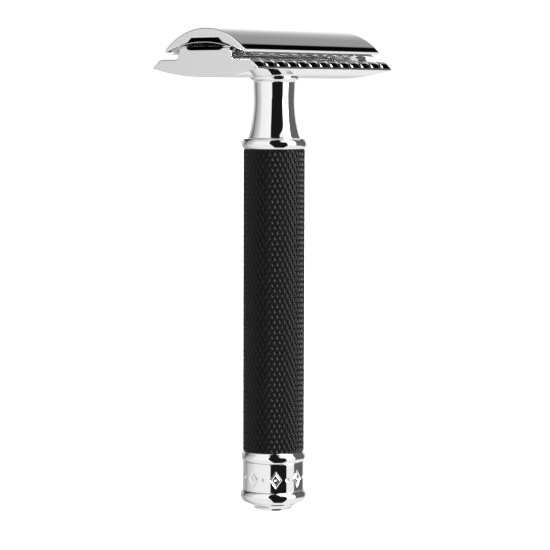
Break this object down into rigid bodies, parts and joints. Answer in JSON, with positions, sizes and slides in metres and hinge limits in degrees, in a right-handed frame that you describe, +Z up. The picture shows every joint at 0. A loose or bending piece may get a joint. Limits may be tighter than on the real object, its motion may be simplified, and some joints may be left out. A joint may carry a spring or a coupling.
{
  "type": "safety razor",
  "caption": "Double-edge safety razor: an arched cap clamps a bent blade on a closed-comb base plate, screwed to a knurled black handle with chrome fittings.",
  "frame": {"origin": "on the handle's axis, at the ground under the foot", "axes": "+Z up the handle from the foot to the cap, +X along the blade, +Y across the head"},
  "size_m": [0.043, 0.0266, 0.0965],
  "materials": {
    "chrome": "polished chrome plate",
    "black_grip": "black, cut with a fine diamond knurl",
    "blade_steel": "bright rolled strip with honed edges",
    "inner_steel": "turned and zinc plated",
    "stud_steel": "threaded, chrome plated",
    "brass": "turned",
    "aluminium": "drawn tube",
    "rubber": "matt"
  },
  "bodies": {
    "handle": {"foot_button": "chrome", "end_cap": "chrome", "end_cap_seal": "rubber", "lower_bead": "chrome", "engraved_band": "chrome", "upper_bead": "chrome", "lower_seal": "rubber", "knurled_grip": "black_grip", "upper_seal": "rubber", "neck_ring": "chrome", "core_tube": "aluminium", "tie_rod": "inner_steel", "rod_washer": "inner_steel", "rod_nut": "inner_steel", "neck": "chrome", "thread_insert": "brass"},
    "guard": {"base_plate": "chrome"},
    "blade_strip": {"blade": "blade_steel"},
    "cap": {"head_cap": "chrome", "threaded_stud": "stud_steel", "locating_pin_left": "chrome", "locating_pin_right": "chrome"}
  },
  "joints": [
    {"name": "head_turn", "type": "hinge", "parent": "handle", "child": "guard", "pos_m": [0, 0, 0.087], "axis": [0, 0, 1], "range_deg": [0, 2520]},
    {"name": "cap_lift", "type": "slide", "parent": "guard", "child": "cap", "axis": [0, 0, 1], "range_m": [0, 0.0056]},
    {"name": "blade_lift", "type": "slide", "parent": "guard", "child": "blade_strip", "axis": [0, 0, 1], "range_m": [0, 0.0028]}
  ],
  "couplings": [
    {"joint": "cap_lift", "follows": "head_turn", "m_per_rad": 0.00012732},
    {"joint": "blade_lift", "follows": "head_turn", "m_per_rad": 0.00006366}
  ]
}
